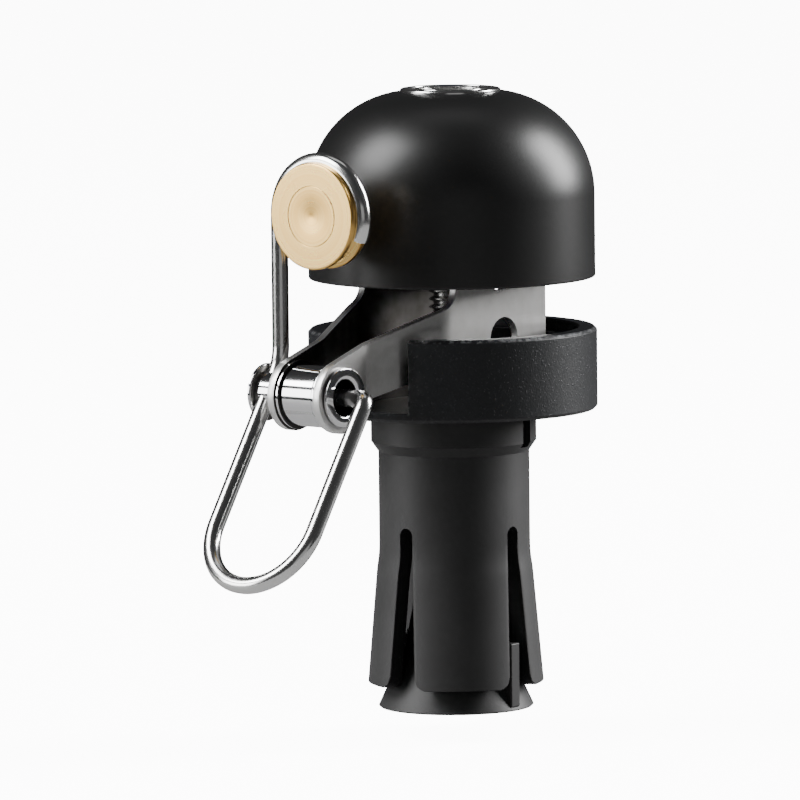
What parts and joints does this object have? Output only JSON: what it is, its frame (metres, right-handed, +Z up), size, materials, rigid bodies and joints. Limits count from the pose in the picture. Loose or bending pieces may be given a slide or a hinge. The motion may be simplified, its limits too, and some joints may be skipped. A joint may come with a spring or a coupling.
{
  "type": "bicycle bell",
  "caption": "Dome bell with a spring-returned wire striker and brass hammer on a bracket, over a notched ring cap and a wedge expander plug that clamps inside a steering post.",
  "frame": {"origin": "centre of the ring cap's underside on the plug's axis, where the post's end face seats", "axes": "+Z up along the plug's axis towards the dome, -Y towards the hammer and thumb loop, +X to the loop's hooked side"},
  "size_m": [0.0362, 0.061, 0.078],
  "materials": {
    "satin_black_paint": "satin matte black paint",
    "polished_stainless": "polished, fine turned rings",
    "natural_nylon": "smooth nylon",
    "zinc_plate": "zinc plated",
    "stamped_stainless": "satin sheet with bright cut edges",
    "grained_black_cast": "fine grained black coating, worn bright at edges",
    "chrome_plate": "bright chrome",
    "spring_steel": "drawn spring wire",
    "polished_wire": "polished stainless wire",
    "turned_brass": "turned face with fine circular rings",
    "black_nylon": "smooth moulded black nylon"
  },
  "bodies": {
    "frame": {"dome": "satin_black_paint", "crown_disc": "polished_stainless", "dome_bush": "natural_nylon", "post_washer": "zinc_plate", "dome_post": "zinc_plate", "bracket": "stamped_stainless", "ring_cap": "grained_black_cast", "pivot_barrel": "chrome_plate", "washer_near": "chrome_plate", "washer_far": "chrome_plate", "return_spring": "spring_steel", "expander_sleeve": "black_nylon"},
    "striker": {"striker_wire": "polished_wire", "hammer": "turned_brass", "pivot_axle": "chrome_plate", "axle_disc": "chrome_plate"},
    "bolt": {"centre_bolt": "zinc_plate"},
    "wedge": {"wedge_cone": "black_nylon", "wedge_nut": "zinc_plate"},
    "finger_1_body": {"finger_1": "black_nylon"},
    "finger_2_body": {"finger_2": "black_nylon"},
    "finger_3_body": {"finger_3": "black_nylon"},
    "finger_4_body": {"finger_4": "black_nylon"}
  },
  "joints": [
    {"name": "striker_pivot", "type": "hinge", "parent": "frame", "child": "striker", "pos_m": [0, -0.0262, 0.00387], "axis": [1, 0, 0], "range_deg": [-11.8, 40], "stiffness_Nm_per_rad": 0.06},
    {"name": "bolt_turn", "type": "hinge", "parent": "frame", "child": "bolt", "pos_m": [0, 0, 0.0386], "axis": [0, 0, -1], "range_deg": [-1225, 361]},
    {"name": "wedge_slide", "type": "slide", "parent": "frame", "child": "wedge", "axis": [0, 0, 1], "range_m": [-0.0034, 0.001]},
    {"name": "finger_1_flex", "type": "hinge", "parent": "frame", "child": "finger_1_body", "pos_m": [0.00583, -0.00583, -0.0165], "axis": [-0.7071, -0.7071, 0], "range_deg": [-5, 1.5]},
    {"name": "finger_2_flex", "type": "hinge", "parent": "frame", "child": "finger_2_body", "pos_m": [0.00583, 0.00583, -0.0165], "axis": [0.7071, -0.7071, 0], "range_deg": [-5, 1.5]},
    {"name": "finger_3_flex", "type": "hinge", "parent": "frame", "child": "finger_3_body", "pos_m": [-0.00583, 0.00583, -0.0165], "axis": [0.7071, 0.7071, 0], "range_deg": [-5, 1.5]},
    {"name": "finger_4_flex", "type": "hinge", "parent": "frame", "child": "finger_4_body", "pos_m": [-0.00583, -0.00583, -0.0165], "axis": [-0.7071, 0.7071, 0], "range_deg": [-5, 1.5]}
  ],
  "couplings": [
    {"joint": "bolt_turn", "follows": "wedge_slide", "rad_per_m": 6283.2},
    {"joint": "finger_1_flex", "follows": "wedge_slide", "rad_per_m": 24.958},
    {"joint": "finger_2_flex", "follows": "wedge_slide", "rad_per_m": 24.958},
    {"joint": "finger_3_flex", "follows": "wedge_slide", "rad_per_m": 24.958},
    {"joint": "finger_4_flex", "follows": "wedge_slide", "rad_per_m": 24.958}
  ]
}
